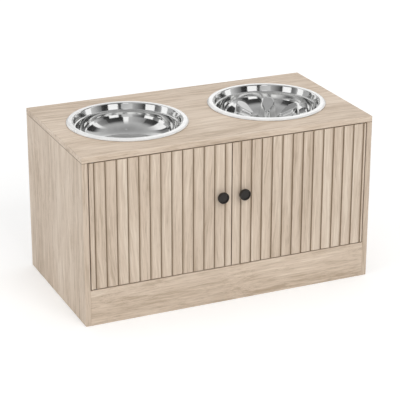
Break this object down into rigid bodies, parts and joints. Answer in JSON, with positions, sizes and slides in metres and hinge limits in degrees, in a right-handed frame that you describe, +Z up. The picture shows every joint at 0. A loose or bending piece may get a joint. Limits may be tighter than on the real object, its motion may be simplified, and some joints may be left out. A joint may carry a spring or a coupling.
{
  "type": "elevated dog feeder with storage",
  "caption": "Low wooden cabinet with lift-out steel bowls in its top board, one a slow feeder with raised lobes, over a storage space behind fluted doors on pivot pins.",
  "frame": {"origin": "bottom centre of the whole object, with the door knobs and the bowl rims counted in its box", "axes": "+X from the left door to the right door, along the cabinet's width; -Y the way the doors face; +Z up"},
  "size_m": [0.65, 0.36, 0.37],
  "materials": {
    "oak_board": "satin laminate",
    "oak_back": "matte laminate",
    "oak_door": "satin laminate",
    "beech": "raw",
    "polished_steel": "polished",
    "zinc": "zinc plated",
    "black_metal": "satin black",
    "nylon": "moulded"
  },
  "bodies": {
    "cabinet": {"top_panel": "oak_board", "left_side_panel": "oak_board", "right_side_panel": "oak_board", "floor_panel": "oak_board", "kick_board": "oak_board", "rear_rail": "oak_board", "back_panel": "oak_back", "cam_discs": "zinc", "cam_bolts": "zinc", "dowels": "beech", "back_panel_screws": "zinc", "pivot_bushes": "nylon", "catch_case": "nylon", "catch_magnets": "zinc", "catch_screws": "zinc"},
    "left_door": {"left_door": "oak_door", "left_pivot_pins": "zinc", "left_knob": "black_metal", "left_knob_screw": "zinc", "left_strike_plate": "zinc", "left_strike_screw": "zinc"},
    "right_door": {"right_door": "oak_door", "right_pivot_pins": "zinc", "right_knob": "black_metal", "right_knob_screw": "zinc", "right_strike_plate": "zinc", "right_strike_screw": "zinc"},
    "water_bowl": {"water_bowl": "polished_steel"},
    "slow_feeder_bowl": {"slow_feeder_bowl": "polished_steel"}
  },
  "joints": [
    {"name": "left_door_hinge", "type": "hinge", "parent": "cabinet", "child": "left_door", "pos_m": [-0.3015, -0.159, 0.2155], "axis": [0, 0, -1], "range_deg": [0, 115]},
    {"name": "right_door_hinge", "type": "hinge", "parent": "cabinet", "child": "right_door", "pos_m": [0.3015, -0.159, 0.2155], "axis": [0, 0, 1], "range_deg": [0, 115]},
    {"name": "water_bowl_lift", "type": "slide", "parent": "cabinet", "child": "water_bowl", "axis": [0, 0, 1], "range_m": [0, 0.09]},
    {"name": "slow_feeder_lift", "type": "slide", "parent": "cabinet", "child": "slow_feeder_bowl", "axis": [0, 0, 1], "range_m": [0, 0.09]}
  ]
}
